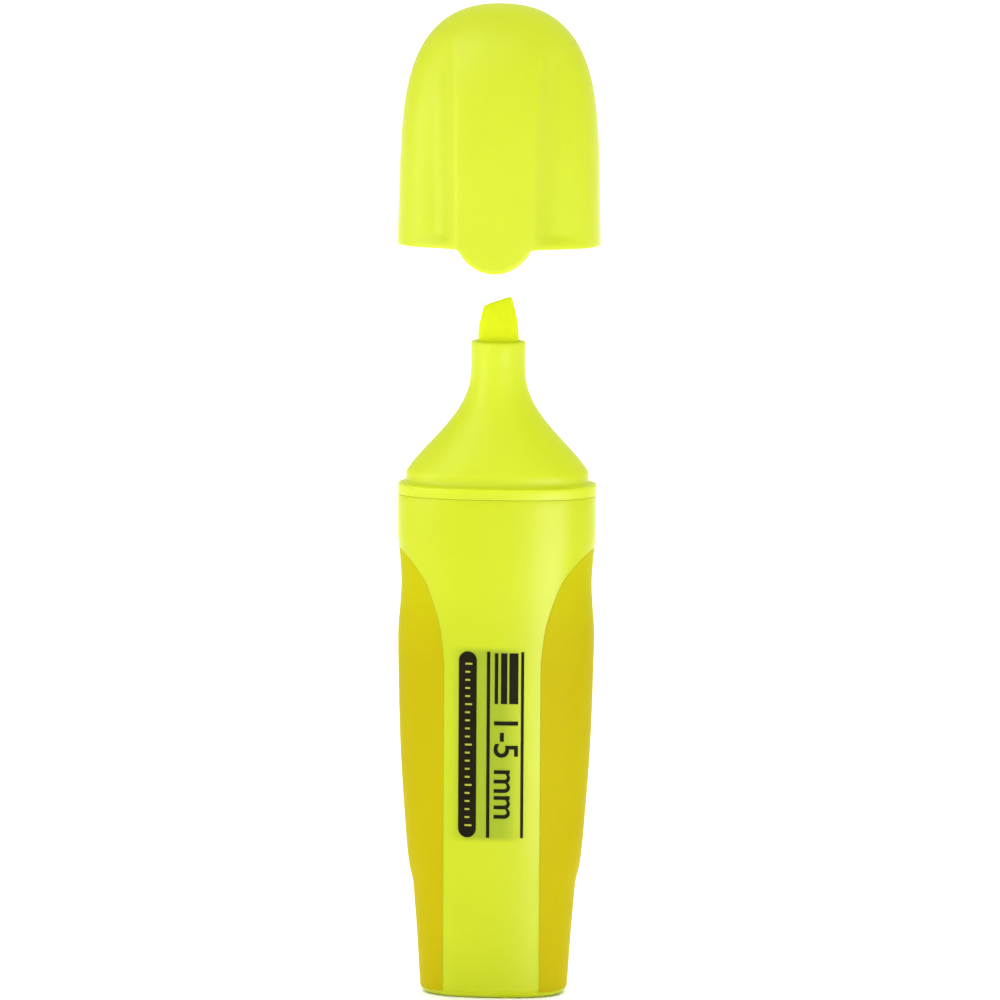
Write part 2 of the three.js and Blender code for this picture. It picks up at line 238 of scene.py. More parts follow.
def paper_white():
    """White card with a faint tooth."""
    material = bpy.data.materials.new("paper_white")
    material.use_nodes = True
    tree = material.node_tree
    shader = tree.nodes["Principled BSDF"]
    tooth = tree.nodes.new("ShaderNodeTexNoise")
    tooth.inputs["Scale"].default_value = 400
    shade = tree.nodes.new("ShaderNodeMix")
    shade.data_type = "RGBA"
    shade.inputs["A"].default_value = (0.95, 0.95, 0.95, 1)
    shade.inputs["B"].default_value = (0.93, 0.93, 0.93, 1)
    tree.links.new(tooth.outputs["Fac"], shade.inputs["Factor"])
    tree.links.new(shade.outputs["Result"], shader.inputs["Base Color"])
    shader.inputs["Roughness"].default_value = 0.8
    return material


def make_floor():
    mesh = bpy.data.meshes.new("floor")
    signs = (-1, -1), (1, -1), (1, 1), (-1, 1)
    corners = [(FLOOR_REACH * x, FLOOR_REACH * y, 0) for x, y in signs]
    mesh.from_pydata(corners, [], [(0, 1, 2, 3)])
    floor = bpy.data.objects.new("floor", mesh)
    bpy.context.scene.collection.objects.link(floor)
    mesh.materials.append(paper_white())
    return floor


floor = make_floor()
print("floor", 2 * FLOOR_REACH, "m across")


# %% A long-lens camera
def make_camera(aim, azimuth, elevation, distance, field, roll):
    """A camera on a circle round the aim point; field is the width seen at that point."""
    a, e = math.radians(azimuth), math.radians(elevation)
    back = Vector((math.sin(a) * math.cos(e), -math.cos(a) * math.cos(e), math.sin(e)))
    data = bpy.data.cameras.new("camera")
    data.lens = data.sensor_width * distance / field
    data.clip_start, data.clip_end = 0.05, 50
    camera = bpy.data.objects.new("camera", data)
    camera.location = Vector(aim) + back * distance
    camera.rotation_mode = "QUATERNION"
    turn = Quaternion((0, 0, 1), math.radians(roll))
    camera.rotation_quaternion = (-back).to_track_quat("-Z", "Y") @ turn
    bpy.context.scene.collection.objects.link(camera)
    bpy.context.scene.camera = camera
    print("lens", round(data.lens), "mm")


middle = (cad_low + cad_high) / 2
make_camera(aim=(0.0004, 0, middle.z), azimuth=3.7, elevation=7, distance=1.3, field=0.1445,
            roll=0.45)


# %% Lamps and the white surround
def area_light(name, place, aim, size, power, diffuse=True, gloss=True, only=None):
    """A soft rectangle of light, unseen itself; only is the one object that it lights, if given."""
    light = bpy.data.lights.new(name, "AREA")
    light.shape = "RECTANGLE"
    light.size, light.size_y = size
    light.energy = power
    lamp = bpy.data.objects.new(name, light)
    lamp.location = place
    lamp.rotation_mode = "QUATERNION"
    lamp.rotation_quaternion = (Vector(aim) - Vector(place)).to_track_quat("-Z", "Y")
    lamp.visible_diffuse, lamp.visible_glossy, lamp.visible_camera = diffuse, gloss, False
    bpy.context.scene.collection.objects.link(lamp)
    if only:
        lit = bpy.data.collections.new(name + "_lights")
        lit.objects.link(only)
        lamp.light_linking.receiver_collection = lit


# Each lamp's place and aim, its size in metres and its power in watts.
shaping_lamps = {
    "key_back": ((0.20, 0.75, 0.85), (0, 0, 0.09), (0.8, 0.8), 2.4),
    "top_soft": ((0, -0.15, 0.90), (0, 0, 0.14), (0.5, 0.5), 0.8),
    "key_front": ((-0.20, -0.75, 0.85), (0, 0, 0.09), (0.8, 0.8), 2.9),
}
gloss_lamps = {
    "gloss_left": ((-0.30, -0.38, 0.55), (0, 0, 0.09), (0.45, 0.45), 2.4),
    "card_left": ((-0.38, -0.26, 0.15), (0, 0, 0.12), (0.30, 0.20), 0.9),
    "strip_right": ((0.070, -0.098, 0.039), (0, 0, 0.039), (0.075, 0.074), 0.16),
    "strip_low": ((0.055, -0.077, 0.015), (0, 0, 0.013), (0.060, 0.028), 0.035),
}
area_light("floor_wash", (0, 1.6, 1.6), (0, 1.0, 0), (3.0, 1.6), 70, gloss=False, only=floor)
for name, setup in shaping_lamps.items():
    area_light(name, *setup, gloss=False)
for name, setup in gloss_lamps.items():
    area_light(name, *setup, diffuse=False)
world = bpy.data.worlds.new("white_surround")
bpy.context.scene.world = world
world.use_nodes = True
surround = world.node_tree.nodes["Background"]
surround.inputs["Color"].default_value = (1, 1, 1, 1)
surround.inputs["Strength"].default_value = 0.70
bpy.context.scene.view_settings.view_transform = "Standard"
bpy.context.scene.view_settings.look = "None"
print(1 + len(shaping_lamps), "lamps that shape,", len(gloss_lamps), "that only show in gloss")

# %% [markdown]
# ## Finishes
# Moulded fluorescent plastic is never one flat colour: the pigment clouds a little, the surface
# carries a faint mould grain, and light creeps through it. So each plastic has a cloud of two
# close colours, a grain in its roughness and bump, and some subsurface scattering. The soft
# pads are the same recipe, duller and rougher.

# %% Node helpers
def node_out(tree, kind, output, values=(), links=(), **settings):
    """A new node, its settings and inputs filled in; gives back one of its outputs."""
    node = tree.nodes.new(kind)
    for setting, value in settings.items():
        setattr(node, setting, value)
    for socket, value in dict(values).items():
        node.inputs[socket].default_value = value
    for socket, source in dict(links).items():
        tree.links.new(source, node.inputs[socket])
    return node.outputs[output]


def smooth_ramp(tree, source, none_at, full_at):
    """From 0 to 1 between two lengths in mm, easing in and out."""
    ends = {"From Min": none_at * MM, "From Max": full_at * MM}
    return node_out(tree, "ShaderNodeMapRange", "Result", ends, {"Value": source},
                    interpolation_type="SMOOTHSTEP")


def tint_where(tree, amount, colour, tint):
    """The colour, multiplied by the tint where amount is 1."""
    return node_out(tree, "ShaderNodeMix", "Result", {"B": (*tint, 1)},
                    {"Factor": amount, "A": colour}, data_type="RGBA", blend_type="MULTIPLY")


def noise_scale(size_mm):
    """A noise texture's scale counts its features per metre."""
    return 1 / (size_mm * MM)


print("a 14 mm cloud needs a noise of scale", round(noise_scale(14), 1))


# %% Moulded finishes
GRAIN_HEIGHT = 0.02
ROUGHNESS_SPREAD = -0.04, 0.05


def moulded(name, light, deep, roughness, grain_mm, bump, scatter, radius, cloud_mm=14, gloss=0.22,
            glow=0.0, rise=None):
    """Plastic or rubber: two close colours in a soft cloud, grain in roughness and bump, scatter.
    rise is (start, end, tint): from one height in mm to the other the colour takes on the tint, as
    painted light."""
    material = bpy.data.materials.new(name)
    material.use_nodes = True
    tree = material.node_tree
    shader = tree.nodes["Principled BSDF"]
    place = tree.nodes.new("ShaderNodeTexCoord").outputs["Object"]

    def noise(size_mm, detail):
        return node_out(tree, "ShaderNodeTexNoise", "Fac",
                        {"Scale": noise_scale(size_mm), "Detail": detail}, {"Vector": place})

    def spread(source, low, high):
        ends = {"From Min": 0.3, "From Max": 0.7, "To Min": low, "To Max": high}
        return node_out(tree, "ShaderNodeMapRange", "Result", ends, {"Value": source})

    colour = node_out(tree, "ShaderNodeMix", "Result", {"A": (*light, 1), "B": (*deep, 1)},
                      {"Factor": spread(noise(cloud_mm, 2), 0, 1)}, data_type="RGBA")
    if rise:
        start, end, tint = rise
        height = node_out(tree, "ShaderNodeSeparateXYZ", "Z", links={"Vector": place})
        colour = tint_where(tree, smooth_ramp(tree, height, start, end), colour, tint)
    tree.links.new(colour, shader.inputs["Base Color"])
    grain = noise(grain_mm, 3)
    rough = spread(grain, *(roughness + shift for shift in ROUGHNESS_SPREAD))
    tree.links.new(rough, shader.inputs["Roughness"])
    lift = node_out(tree, "ShaderNodeBump", "Normal",
                    {"Strength": bump, "Distance": GRAIN_HEIGHT * MM}, {"Height": grain})
    tree.links.new(lift, shader.inputs["Normal"])
    # The emission is a painted glow that stands for the fluorescent plastic's extra brightness.
    for socket, value in (("Subsurface Weight", scatter), ("Subsurface Radius", radius),
                          ("Subsurface Scale", 1 * MM), ("Specular IOR Level", gloss),
                          ("Emission Color", (*light, 1)), ("Emission Strength", glow)):
        shader.inputs[socket].default_value = value
    return material


GLOW_THROUGH = (1.6, 1.5, 0.25)
# Its rise paints the barrel lighter from 51 mm up, fully so above 63 mm: painted light for the
# light that the front section's plug inside sends back through the wall.
barrel_plastic = moulded(
    "barrel_plastic", (0.535, 0.610, 0.0045), (0.517, 0.595, 0.0035), 0.36, 0.5, 0.2, 0.3,
    GLOW_THROUGH, glow=0.04, rise=(51, 63, (1.06, 1.06, 1.25)))
front_plastic = moulded(
    "front_plastic", (0.615, 0.71, 0.017), (0.600, 0.695, 0.014), 0.4, 0.5, 0.25, 0.55,
    GLOW_THROUGH, glow=0.05)
cap_plastic = moulded(
    "cap_plastic", (0.595, 0.685, 0.023), (0.580, 0.670, 0.020), 0.4, 0.5, 0.25, 0.4,
    GLOW_THROUGH, glow=0.05)
# Its rise paints the pads lighter and greener from 46 to 65 mm up, towards their arch tops: painted
# light for the light that comes through the thin rubber there.
soft_grip = moulded(
    "soft_grip", (0.515, 0.435, 0.001), (0.49, 0.405, 0.0008), 0.6, 0.25, 0.5, 0.12,
    (1.0, 0.8, 0.1), cloud_mm=22, gloss=0.04, glow=0.02, rise=(46, 65, (1.06, 1.2, 1.2)))
liner_plastic = moulded(
    "liner_plastic", (0.80, 0.86, 0.50), (0.77, 0.83, 0.46), 0.5, 0.6, 0.3, 0.3, (1, 1, 0.7))
wet_felt = moulded(
    "wet_felt", (0.75, 0.84, 0.009), (0.72, 0.81, 0.007), 0.8, 0.12, 1.0, 0.3,
    (1.0, 1.0, 0.1), cloud_mm=1.2, gloss=0.12, glow=0.08)
core_felt = moulded(
    "core_felt", (0.72, 0.82, 0.02), (0.66, 0.77, 0.015), 0.85, 0.15, 1.0, 0.2,
    (1.0, 1.0, 0.2), cloud_mm=2)
film = moulded(
    "film", (0.85, 0.88, 0.55), (0.82, 0.86, 0.50), 0.3, 0.8, 0.2, 0.2, (1, 1, 0.6))
ink = moulded(
    "print_ink", (0.009, 0.008, 0.002), (0.012, 0.011, 0.003), 0.42, 0.2, 0.3, 0.0, (1, 1, 1),
    cloud_mm=3, gloss=0.04)
pale_ink = moulded(
    "pale_print_ink", (0.42, 0.43, 0.03), (0.38, 0.40, 0.025), 0.42, 0.2, 0.3, 0.0, (1, 1, 1),
    cloud_mm=3)
print(len(bpy.data.materials), "materials")

# %% [markdown]
# ## Painted shade where the reservoir shows through
# Behind the print the plastic looks a little darker, as if the soaked rod inside shows through
# the wall and holds back the light. This could be left to real light passing through the plastic,
# but that is slow and noisy, so a soft-edged painted shade in the barrel's own material stands
# for it: four smooth ramps, across, front to back, up and down, multiplied together.

# %% Paint shade on the barrel in front of the reservoir
PATCH_BOTTOM, PATCH_TOP = 23.4, 51.2
END_FADE = 0.6
BEHIND, IN_FRONT = -2, -5


def paint_shade_through(material, centre, reach, bottom, top, tint):
    """Paints shade: multiplies the colour by a tint in a soft-edged patch on the front; lengths are
    in mm.
    """
    tree = material.node_tree
    base = tree.nodes["Principled BSDF"].inputs["Base Color"]
    under = base.links[0].from_socket
    spot = tree.nodes.new("ShaderNodeSeparateXYZ")
    place = tree.nodes.new("ShaderNodeTexCoord").outputs["Object"]
    tree.links.new(place, spot.inputs["Vector"])
    x, y, z = (spot.outputs[axis] for axis in "XYZ")

    def product(first, second):
        return node_out(tree, "ShaderNodeMath", "Value", links={0: first, 1: second},
                        operation="MULTIPLY")

    offset = node_out(tree, "ShaderNodeMath", "Value", {1: centre * MM}, {0: x},
                      operation="SUBTRACT")
    aside = node_out(tree, "ShaderNodeMath", "Value", links={0: offset}, operation="ABSOLUTE")
    across = smooth_ramp(tree, aside, reach, reach * 0.3)
    patch = product(across, smooth_ramp(tree, y, BEHIND, IN_FRONT))
    ends = product(smooth_ramp(tree, z, bottom - END_FADE, bottom + END_FADE),
                   smooth_ramp(tree, z, top + END_FADE, top - END_FADE))
    tree.links.new(tint_where(tree, product(patch, ends), under, tint), base)


# Painted shade on the front, in front of the reservoir.
paint_shade_through(barrel_plastic, centre=-0.8, reach=6.2, bottom=PATCH_BOTTOM, top=PATCH_TOP,
             tint=(0.60, 0.68, 0.75))
print("tinted patch", round(PATCH_TOP - PATCH_BOTTOM, 1), "mm tall")

# %% [markdown]
# ## The barrel
# The real barrel is one thin moulding: a flat foot with a rounded edge, a narrow lower end, a
# long swell, a waist for the fingers, and a pocket on each side for a soft pad. The grid's
# columns follow the pocket's edge at every height, so the edge stays crisp without a boolean
# cut, and the same rows run over the rim and down the inside.

# %% Outline of the barrel and of the pads
FOOT_RADIUS = 1.3
WALL_X, WALL_Y, FLOOR = 2.3, 2.0, 1.8
POCKET = 1.2
PAD_FRONT_X = 7.0
PAD_BOTTOM = PAD_LOW - 0.3
PAD_STRAIGHT = 49.0
ARCH_START, ARCH_END = 55, 66.2
half_width = smooth_through([
    (0, 10.62), (8.2, 11.15), (13.9, 11.6), (16.4, 11.85), (19.8, 12.55), (28.4, 13.28),
    (35.7, 13.75), (43, 14.02), (51.1, 14.2), (53.9, 14.15), (56.6, 13.93), (60.1, 13.78),
    (63.6, 14.0), (67, 14.35), (72.8, 14.35)])
half_depth = smooth_through([(0, 7.3), (20, 7.9), (40, 8.4), (60, 8.7), (72.8, 8.7)])
pad_edge = smooth_through([
    (PAD_STRAIGHT, PAD_FRONT_X), (54, 7.6), (58.3, 8.9), (61.5, 10.4), (65, 13.7),
    (ARCH_END, 17.3)])


def arch_top(gap=0.0):
    """The height at which a pad's outline, moved out by gap, runs off the side of the barrel."""
    heights = np.linspace(61, ARCH_END, 2000)
    off = pad_edge(heights) + gap >= half_width(heights)
    return heights[np.argmax(off)]


def pad_levels(bottom, gap):
    """Heights of a pad's rows: even up its straight side, closer together near the arch's top."""
    top = arch_top(gap)
    straight = np.linspace(bottom, ARCH_START, 56)[1:]
    arch = top - (top - ARCH_START) * (1 - np.linspace(0, 1, 40)) ** 2
    return np.concatenate([straight, arch[1:]])


print("pads run from", round(PAD_BOTTOM, 2), "to", round(arch_top(), 2), "mm")


# %% Columns round the barrel
EDGE_ROUND = 0.06
PANEL_COLUMNS, POCKET_COLUMNS = 22, 17
POCKET_FADE = 0.12
STEP = 0.02


def quarter_columns(z, pocket_on):
    """Turns from the front face to the side, and how far the pocket pushes each column in."""
    a = half_width(z)
    edge = max(PAD_FRONT_X, float(pad_edge(z))) if z > PAD_STRAIGHT else PAD_FRONT_X
    panel_edge = edge - 2 * EDGE_ROUND
    panel_end = turn_at(panel_edge, a) if panel_edge < a else 0.0
    turns = list(np.linspace(math.pi / 2, panel_end, PANEL_COLUMNS))
    insets = [0.0] * PANEL_COLUMNS
    room = smoothstep(turn_at(edge, a), 0.0, POCKET_FADE)
    for along, inset in edge_steps(EDGE_ROUND):
        turns.append(turn_at(edge - along, a))
        insets.append(inset * pocket_on * room)
    turns.append(turn_at(edge, a))
    insets.append(POCKET * pocket_on * room)
    turns += list(np.linspace(turn_at(edge + STEP, a), 0, POCKET_COLUMNS))
    insets += [POCKET * pocket_on * room] * POCKET_COLUMNS
    return np.array(turns), np.array(insets)


def all_round(turns, insets):
    """A quarter's columns repeated: front right, back right, back left, front left."""
    ring_turns = np.concatenate([
        -turns, turns[::-1][1:], math.pi - turns[1:], -math.pi + turns[::-1][1:-1]])
    ring_insets = np.concatenate([insets, insets[::-1][1:], insets[1:], insets[::-1][1:-1]])
    return ring_turns, ring_insets


columns = len(all_round(*quarter_columns(PAD_STRAIGHT, 1.0))[0])
print(columns, "columns round the barrel")

# %% Rows up the barrel
FOOT_INSETS = 5.0, 3.0, 1.9
UPPER_LEVELS = 66.6, 67.2, 68.5, 70, 71.5
INNER_LEVELS = BARREL_TOP, 71, 66, 55, 40, 27, 19.8, 13.9, 6, FLOOR
RIM_ROUND = 0.07


def barrel_row(z, inset=0.0, pocket_on=0.0):
    turns, pushed = all_round(*quarter_columns(z, pocket_on))
    return ring(turns, z, half_width(z), half_depth(z), inset=np.maximum(inset, pushed))


def barrel_inner_row(z):
    turns, _ = all_round(*quarter_columns(BARREL_TOP, 0))
    return ring(turns, z, half_width(z) - WALL_X, half_depth(z) - WALL_Y)


def foot_inset(z):
    """How far the rounded edge of the foot pulls the section in at a height."""
    return FOOT_RADIUS - math.sqrt(FOOT_RADIUS**2 - max(FOOT_RADIUS - z, 0) ** 2)


def build_barrel():
    rows = [barrel_row(0.0, inset) for inset in FOOT_INSETS]
    rounding = [FOOT_RADIUS * (1 - math.cos(turn)) for turn in np.linspace(0, math.pi / 2, 14)]
    rows += [barrel_row(z, foot_inset(z)) for z in rounding if z < PAD_BOTTOM - EDGE_ROUND]
    for along, inset in edge_steps(EDGE_ROUND):
        z = PAD_BOTTOM - along
        rows.append(barrel_row(z, foot_inset(z), inset / POCKET))
    above = [z for z in rounding if z > PAD_BOTTOM + STEP]
    levels = [PAD_BOTTOM + STEP / 2, *above, *pad_levels(FOOT_RADIUS + 0.3, 0.0)]
    rows += [barrel_row(z, foot_inset(z), 1.0) for z in levels]
    rows += [barrel_row(z) for z in UPPER_LEVELS]
    rows += [barrel_row(BARREL_TOP - along, inset) for along, inset in edge_steps(RIM_ROUND)]
    rows += [barrel_inner_row(z) for z in INNER_LEVELS]
    none = np.zeros(len(rows[0]))
    return [pole(none, 0.0), *rows, pole(none, FLOOR)]


grid_piece("barrel_skin", build_barrel(), "pen", "barrel", "barrel_plastic", barrel_plastic)

# %% [markdown]
# ## The soft pads
# Each pad is a sheet of rubber about one millimetre thick that fills its pocket flush with the
# barrel, and only a hair-line groove shows round it. It is built as a stack of closed rings:
# out along the surface from the front edge to the back edge, then back along the inside.
# Rounded edges make the hair line catch the light.

# %% Build the pads
GROOVE = 0.012
PAD_EDGE_ROUND = 0.06
PAD_INSIDE = POCKET - 0.06
PAD_COLUMNS = 44
PAD_FADE = 0.2


def pad_row(z, outer_inset, side):
    """One closed ring of a pad: along its outside, then back along its inside."""
    a = half_width(z)
    edge = (float(pad_edge(z)) if z > PAD_STRAIGHT else PAD_FRONT_X) + GROOVE
    room = smoothstep(turn_at(edge, a), 0.0, PAD_FADE)
    outer_turns, outer_insets = [], []
    for along, inset in reversed(edge_steps(PAD_EDGE_ROUND, 6)):
        outer_turns.append(turn_at(edge + along, a))
        outer_insets.append(max(outer_inset, inset * room))
    start = turn_at(edge + 1.3 * PAD_EDGE_ROUND, a)
    middle_turns = np.linspace(start, -start, PAD_COLUMNS)
    half = np.array(outer_turns)
    turns = np.concatenate([-half, -middle_turns, half[::-1]])
    insets = [*outer_insets, *[outer_inset] * PAD_COLUMNS, *outer_insets[::-1]]
    insets += [PAD_INSIDE] * len(turns)
    there_and_back = np.concatenate([turns, turns[::-1]])
    x, y = oval_points(there_and_back, a, half_depth(z), inset=np.array(insets))
    return np.stack([side * x, y, np.full(len(x), z)], axis=1)


def build_pad(side):
    bottom = PAD_BOTTOM + GROOVE
    levels = [(bottom, PAD_INSIDE)]
    edge = reversed(edge_steps(PAD_EDGE_ROUND))
    levels += [(bottom + along, inset) for along, inset in edge]
    heights = *np.linspace(bottom + 0.1, FOOT_RADIUS, 5), *pad_levels(FOOT_RADIUS + 0.3, GROOVE)
    levels += [(z, 0.0) for z in heights]
    return [pad_row(z, max(inset, foot_inset(z)), side) for z, inset in levels]


for name, side in (("grip_right", 1), ("grip_left", -1)):
    grid_piece(name + "_skin", build_pad(side), "pen", name, "soft_grip", soft_grip)

# %% [markdown]
# ## The print
# The front carries a pad-printed block between two long lines: three strokes that show the
# widths the nib draws, the range in millimetres, and a dark bar with a small scale. Print is a
# film of ink, so each mark is cut from a flat outline, divided finely, and laid on the barrel's
# curved face a few hundredths of a millimetre proud.

# %% Lay a flat mark on the barrel
INK_THICK, INK_SUNK, INK_PITCH = 0.03, 0.04, 0.7


def lay_on_barrel(name, flat, material, proud=INK_THICK):
    """Flat faces, X across and Z up in mm, become a thin closed film on the barrel's front."""
    for axis in (Vector((1, 0, 0)), Vector((0, 0, 1))):
        places = [vert.co @ axis for vert in flat.verts]
        for place in np.arange(min(places) + INK_PITCH, max(places) - 0.1, INK_PITCH):
            everything = [*flat.verts, *flat.edges, *flat.faces]
            bmesh.ops.bisect_plane(flat, geom=everything, plane_co=axis * place, plane_no=axis,
                                   dist=1e-4)
    bmesh.ops.remove_doubles(flat, verts=flat.verts, dist=0.001)
    made = bmesh.ops.extrude_face_region(flat, geom=list(flat.faces), use_keep_orig=True)
    sunk = {vert for vert in made["geom"] if isinstance(vert, bmesh.types.BMVert)}
    points, index = [], {}
    for vert in flat.verts:
        x, _, z = vert.co
        share = 1 - abs(x / float(half_width(z))) ** OVAL
        face = float(half_depth(z)) * share ** (1 / OVAL)
        index[vert] = len(points)
        points.append((x, -face + (INK_SUNK if vert in sunk else -proud), z))
    faces = [[index[vert] for vert in face.verts] for face in flat.faces]
    flat.free()
    return closed_piece(name, points, faces, "pen", None, "barrel_plastic", material,
                        crease_angle=30)


print("ink stands", INK_THICK, "mm proud")


# %% Shapes and lettering
def outlines(*shapes):
    """Flat faces from outlines of (x, z) points."""
    flat = bmesh.new()
    for shape in shapes:
        flat.faces.new([flat.verts.new((x, 0, z)) for x, z in shape])
    return flat


def bar(x, width, bottom, top):
    r = width / 2
    return [(x - r, bottom), (x + r, bottom), (x + r, top), (x - r, top)]


def pill(x, width, bottom, top):
    r = width / 2
    turns = np.linspace(0, math.pi, 13)
    upper = [(x + r * math.cos(t), top - r + r * math.sin(t)) for t in turns]
    return upper + [(2 * x - px, bottom + top - pz) for px, pz in upper]


def lettering(words, x_foot, z_start, height):
    """Flat faces of a line of type that reads down the pen, its letters' feet at x_foot."""
    curve = bpy.data.curves.new("type", "FONT")
    curve.body = words
    curve.offset = 0.012
    shown = bpy.data.objects.new("type", curve)
    bpy.context.scene.collection.objects.link(shown)
    settled = shown.evaluated_get(bpy.context.evaluated_depsgraph_get())
    mesh = bpy.data.meshes.new_from_object(settled)
    tall = max(vert.co.y for vert in mesh.vertices)
    flat = bmesh.new()
    flat.from_mesh(mesh)
    for vert in flat.verts:
        along, up, _ = vert.co
        vert.co = (x_foot + up * height / tall, 0, z_start - along * height / tall)
    bpy.data.objects.remove(shown)
    bpy.data.curves.remove(curve)
    bpy.data.meshes.remove(mesh)
    return flat


print("a pill's outline has", len(pill(0, 1, 0, 5)), "points")

# %% The printed block
PRINT_LOW, PRINT_HIGH = 23.7, 50.9
LINES = (-0.5, 0.48), (4.4, 0.43)
STROKES = (0.65, 0.5), (1.75, 0.9), (3.15, 1.3)
BAR_X, BAR_WIDTH = -3.5, 2.6
TICK_HALF, SHORT_TICK, LONG_TICK = 0.13, 0.7, 1.0
lines = [bar(x, width, PRINT_LOW, PRINT_HIGH) for x, width in LINES]
lay_on_barrel("print_lines", outlines(*lines), ink)
lay_on_barrel("print_bar", outlines(pill(BAR_X, BAR_WIDTH, PRINT_LOW, PRINT_HIGH)), ink)
strokes = [bar(x, width, PRINT_HIGH - 7.6, PRINT_HIGH - 0.2) for x, width in STROKES]
lay_on_barrel("print_strokes", outlines(*strokes), ink)
lay_on_barrel("print_range", lettering("1-5 mm", 0.4, PRINT_HIGH - 9.2, 3.4), ink)
ticks = []
for step, z in enumerate(np.linspace(PRINT_HIGH - 1.8, PRINT_LOW + 1.8, 21)):
    x, width = (BAR_X, SHORT_TICK) if step % 5 else (BAR_X + 0.15, LONG_TICK)
    ticks.append(bar(x, width, z - TICK_HALF, z + TICK_HALF))
lay_on_barrel("print_scale", outlines(*ticks), pale_ink, proud=2 * INK_THICK)

# %% [markdown]
# ## The front section
# Collar, bell and neck are one moulding. The bell is a single sweep from the oval base to the
# round neck, drawn as one cubic curve for its width and one for its depth. The collar sits on
# the barrel's end with a fine seam. Inside it runs down as a plug in the barrel, and the nib's
# hole goes through the neck.

# %% Sizes of the front section
NECK_RADIUS = 3.96
NECK_BASE = NECK_TOP - 4.7
LEDGE = BARREL_TOP + 1.6
CONE_BASE = LEDGE + 1.6
CONE_HALF_WIDTH, CONE_HALF_DEPTH = 13.2, 7.6
COLLAR_HALF_WIDTH, COLLAR_HALF_DEPTH = 14.35, 8.7
SEAM = 0.03
NIB_HALF_WIDTH, NIB_HALF_DEPTH, NIB_POWER = 2.93, 2.0, 3.0
HOLE_ROOM, HOLE_BOTTOM = 0.12, 84
BELL_ROWS, BELL_WALL = 44, 1.3
print("bell from", round(CONE_BASE, 2), "to", round(NECK_BASE, 2), "mm")


# %% Build the front section
def bezier(p0, p1, p2, p3, count):
    t = np.linspace(0, 1, count)[:, None]
    p0, p1, p2, p3 = (np.array(p, float) for p in (p0, p1, p2, p3))
    return (1 - t) ** 3 * p0 + 3 * (1 - t) ** 2 * t * p1 + 3 * (1 - t) * t**2 * p2 + t**3 * p3


def bell_curve(base):
    """The bell's half size and height, from a half size at its base to the round neck."""
    neck = NECK_RADIUS + 0.07
    shoulder = neck + (base - neck) * 0.752
    return bezier((base, CONE_BASE), (shoulder, CONE_BASE + 3.95), (neck, NECK_BASE - 5.9),
                  (neck, NECK_BASE), BELL_ROWS)


def build_front():
    turns = np.linspace(0, 2 * math.pi, 120, endpoint=False)
    plug = COLLAR_HALF_WIDTH - WALL_X - 0.1, COLLAR_HALF_DEPTH - WALL_Y - 0.1
    plug_end, plug_top = front_low[2], BARREL_TOP + SEAM
    rows = [ring(turns, plug_end, *plug, inset=0.5)]
    rows += [ring(turns, z, *plug) for z in (plug_end + 0.5, BARREL_TOP - 0.3, plug_top)]
    collar = COLLAR_HALF_WIDTH, COLLAR_HALF_DEPTH
    for along, inset in reversed(edge_steps(0.05)):
        rows.append(ring(turns, plug_top + along, *collar, inset=inset))
    for along, inset in edge_steps(0.3, 6):
        rows.append(ring(turns, LEDGE - along, *collar, inset=inset))
    cone = CONE_HALF_WIDTH, CONE_HALF_DEPTH
    for along, inset in edge_steps(0.6):
        rows.append(ring(turns, LEDGE + inset, *cone, inset=-along))
    rows.append(ring(turns, CONE_BASE - 0.5, *cone))
    powers = OVAL + (2 - OVAL) * np.linspace(0, 1, BELL_ROWS)
    wide, deep = bell_curve(CONE_HALF_WIDTH), bell_curve(CONE_HALF_DEPTH)
    bell = [(z, a, b, power) for power, (a, z), (b, _) in zip(powers, wide, deep)]
    rows += [ring(turns, *level) for level in bell]
    neck = NECK_RADIUS, NECK_RADIUS, 2
    rows += [ring(turns, z, *neck) for z in (NECK_BASE + 0.6, NECK_BASE + 2, NECK_TOP - 1)]
    for along, inset in edge_steps(0.3, 6):
        rows.append(ring(turns, NECK_TOP - along, *neck, inset=inset))
    hole = NIB_HALF_WIDTH + HOLE_ROOM, NIB_HALF_DEPTH + HOLE_ROOM, NIB_POWER
    for along, inset in edge_steps(0.25):
        rows.append(ring(turns, NECK_TOP - inset, *hole, inset=-along))
    rows += [ring(turns, z, *hole) for z in (NECK_TOP - 2, HOLE_BOTTOM)]
    for z, a, b, power in bell[28::-7]:
        rows.append(ring(turns, z - BELL_WALL, a - BELL_WALL, b - BELL_WALL, power))
    for z in (BARREL_TOP, plug_end + 0.3):
        rows.append(ring(turns, z, plug[0] - 1.2, plug[1] - 1.2))
    return rows


grid_piece("front_section_skin", build_front(), "pen", "front_section", "front_plastic",
           front_plastic, close_rows=True)

# %% [markdown]
# ## The nib
# A chisel nib is a rod of pressed felt, ground to a wedge with a slanting edge. Its rows are
# sheared as they rise, so the last one lies along the slant, and a slight unevenness keeps the
# felt from looking like plastic.

# %% Build the nib
SLANT_LOW, SLANT_HIGH = 100.1, nib_high[2]
CHISEL_START = 95.8
SLOPE = (SLANT_HIGH - SLANT_LOW) / 4.1
TIP_X = 1.9
EDGE_LIFT = 0.12
UNEVENNESS = 0.012
rng = np.random.default_rng(7)


